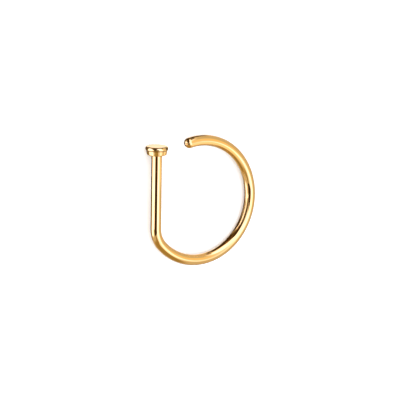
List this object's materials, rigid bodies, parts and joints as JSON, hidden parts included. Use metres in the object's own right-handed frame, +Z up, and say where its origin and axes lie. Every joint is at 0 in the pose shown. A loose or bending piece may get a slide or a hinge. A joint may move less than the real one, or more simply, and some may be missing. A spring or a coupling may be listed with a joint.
{
  "type": "nose ring",
  "caption": "Open D-shaped nose ring of round wire, with a straight post, a flat round head and a rounded free tip.",
  "frame": {"origin": "middle of the ring's outline seen from above, on the surface it lies on", "axes": "+Z up, square to the flat of the hoop apart from the 2.6 degrees that it leans; +Y along the straight post towards the head; +X from the post towards the wide arc"},
  "size_m": [0.01, 0.0104, 0.0018],
  "materials": {
    "polished_gold": "mirror-polished yellow gold plating over surgical steel"
  },
  "bodies": {
    "root": {"nose_ring": "polished_gold"}
  },
  "joints": []
}
